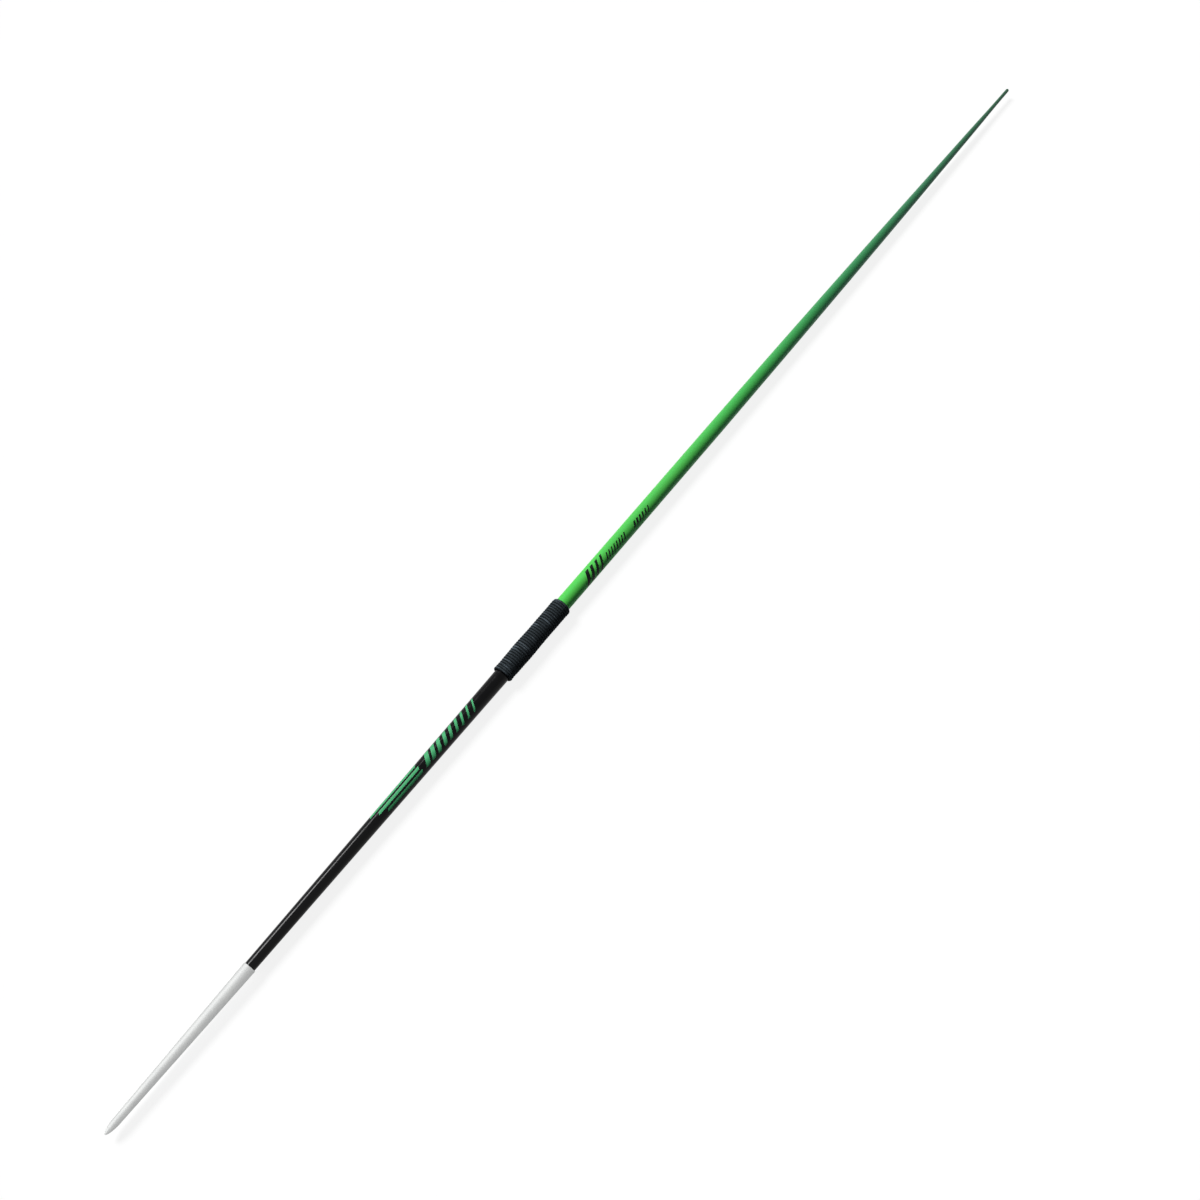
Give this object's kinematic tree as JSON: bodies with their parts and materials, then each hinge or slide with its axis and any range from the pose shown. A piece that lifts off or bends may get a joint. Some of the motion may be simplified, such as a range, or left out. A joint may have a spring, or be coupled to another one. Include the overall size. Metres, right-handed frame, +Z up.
{
  "type": "javelin",
  "caption": "Throwing javelin with a steel head, a black and green aluminium shaft that tapers to the tail, and a grip of wound cord at its balance point.",
  "frame": {"origin": "below the middle of the grip, on the flats of the cord's underside, on which the javelin lies in balance", "axes": "X runs along the javelin, with the point towards -X and the tail towards +X; +Z is up from the surface that it lies on"},
  "size_m": [2.6, 0.034, 0.0337],
  "materials": {
    "steel": "satin",
    "wood": "matte",
    "brass": "satin",
    "black_shaft": "gloss",
    "plain_aluminium": "satin",
    "green_shaft": "gloss",
    "tail_plastic": "satin",
    "tape": "matte",
    "cord": "matte"
  },
  "bodies": {
    "root": {"head": "steel", "nose_dowel": "wood", "balance_weight": "brass", "front_shaft": "black_shaft", "joint_sleeve": "plain_aluminium", "rear_shaft": "green_shaft", "tail_plug": "tail_plastic", "grip_tape": "tape", "grip_cord": "cord"}
  },
  "joints": []
}
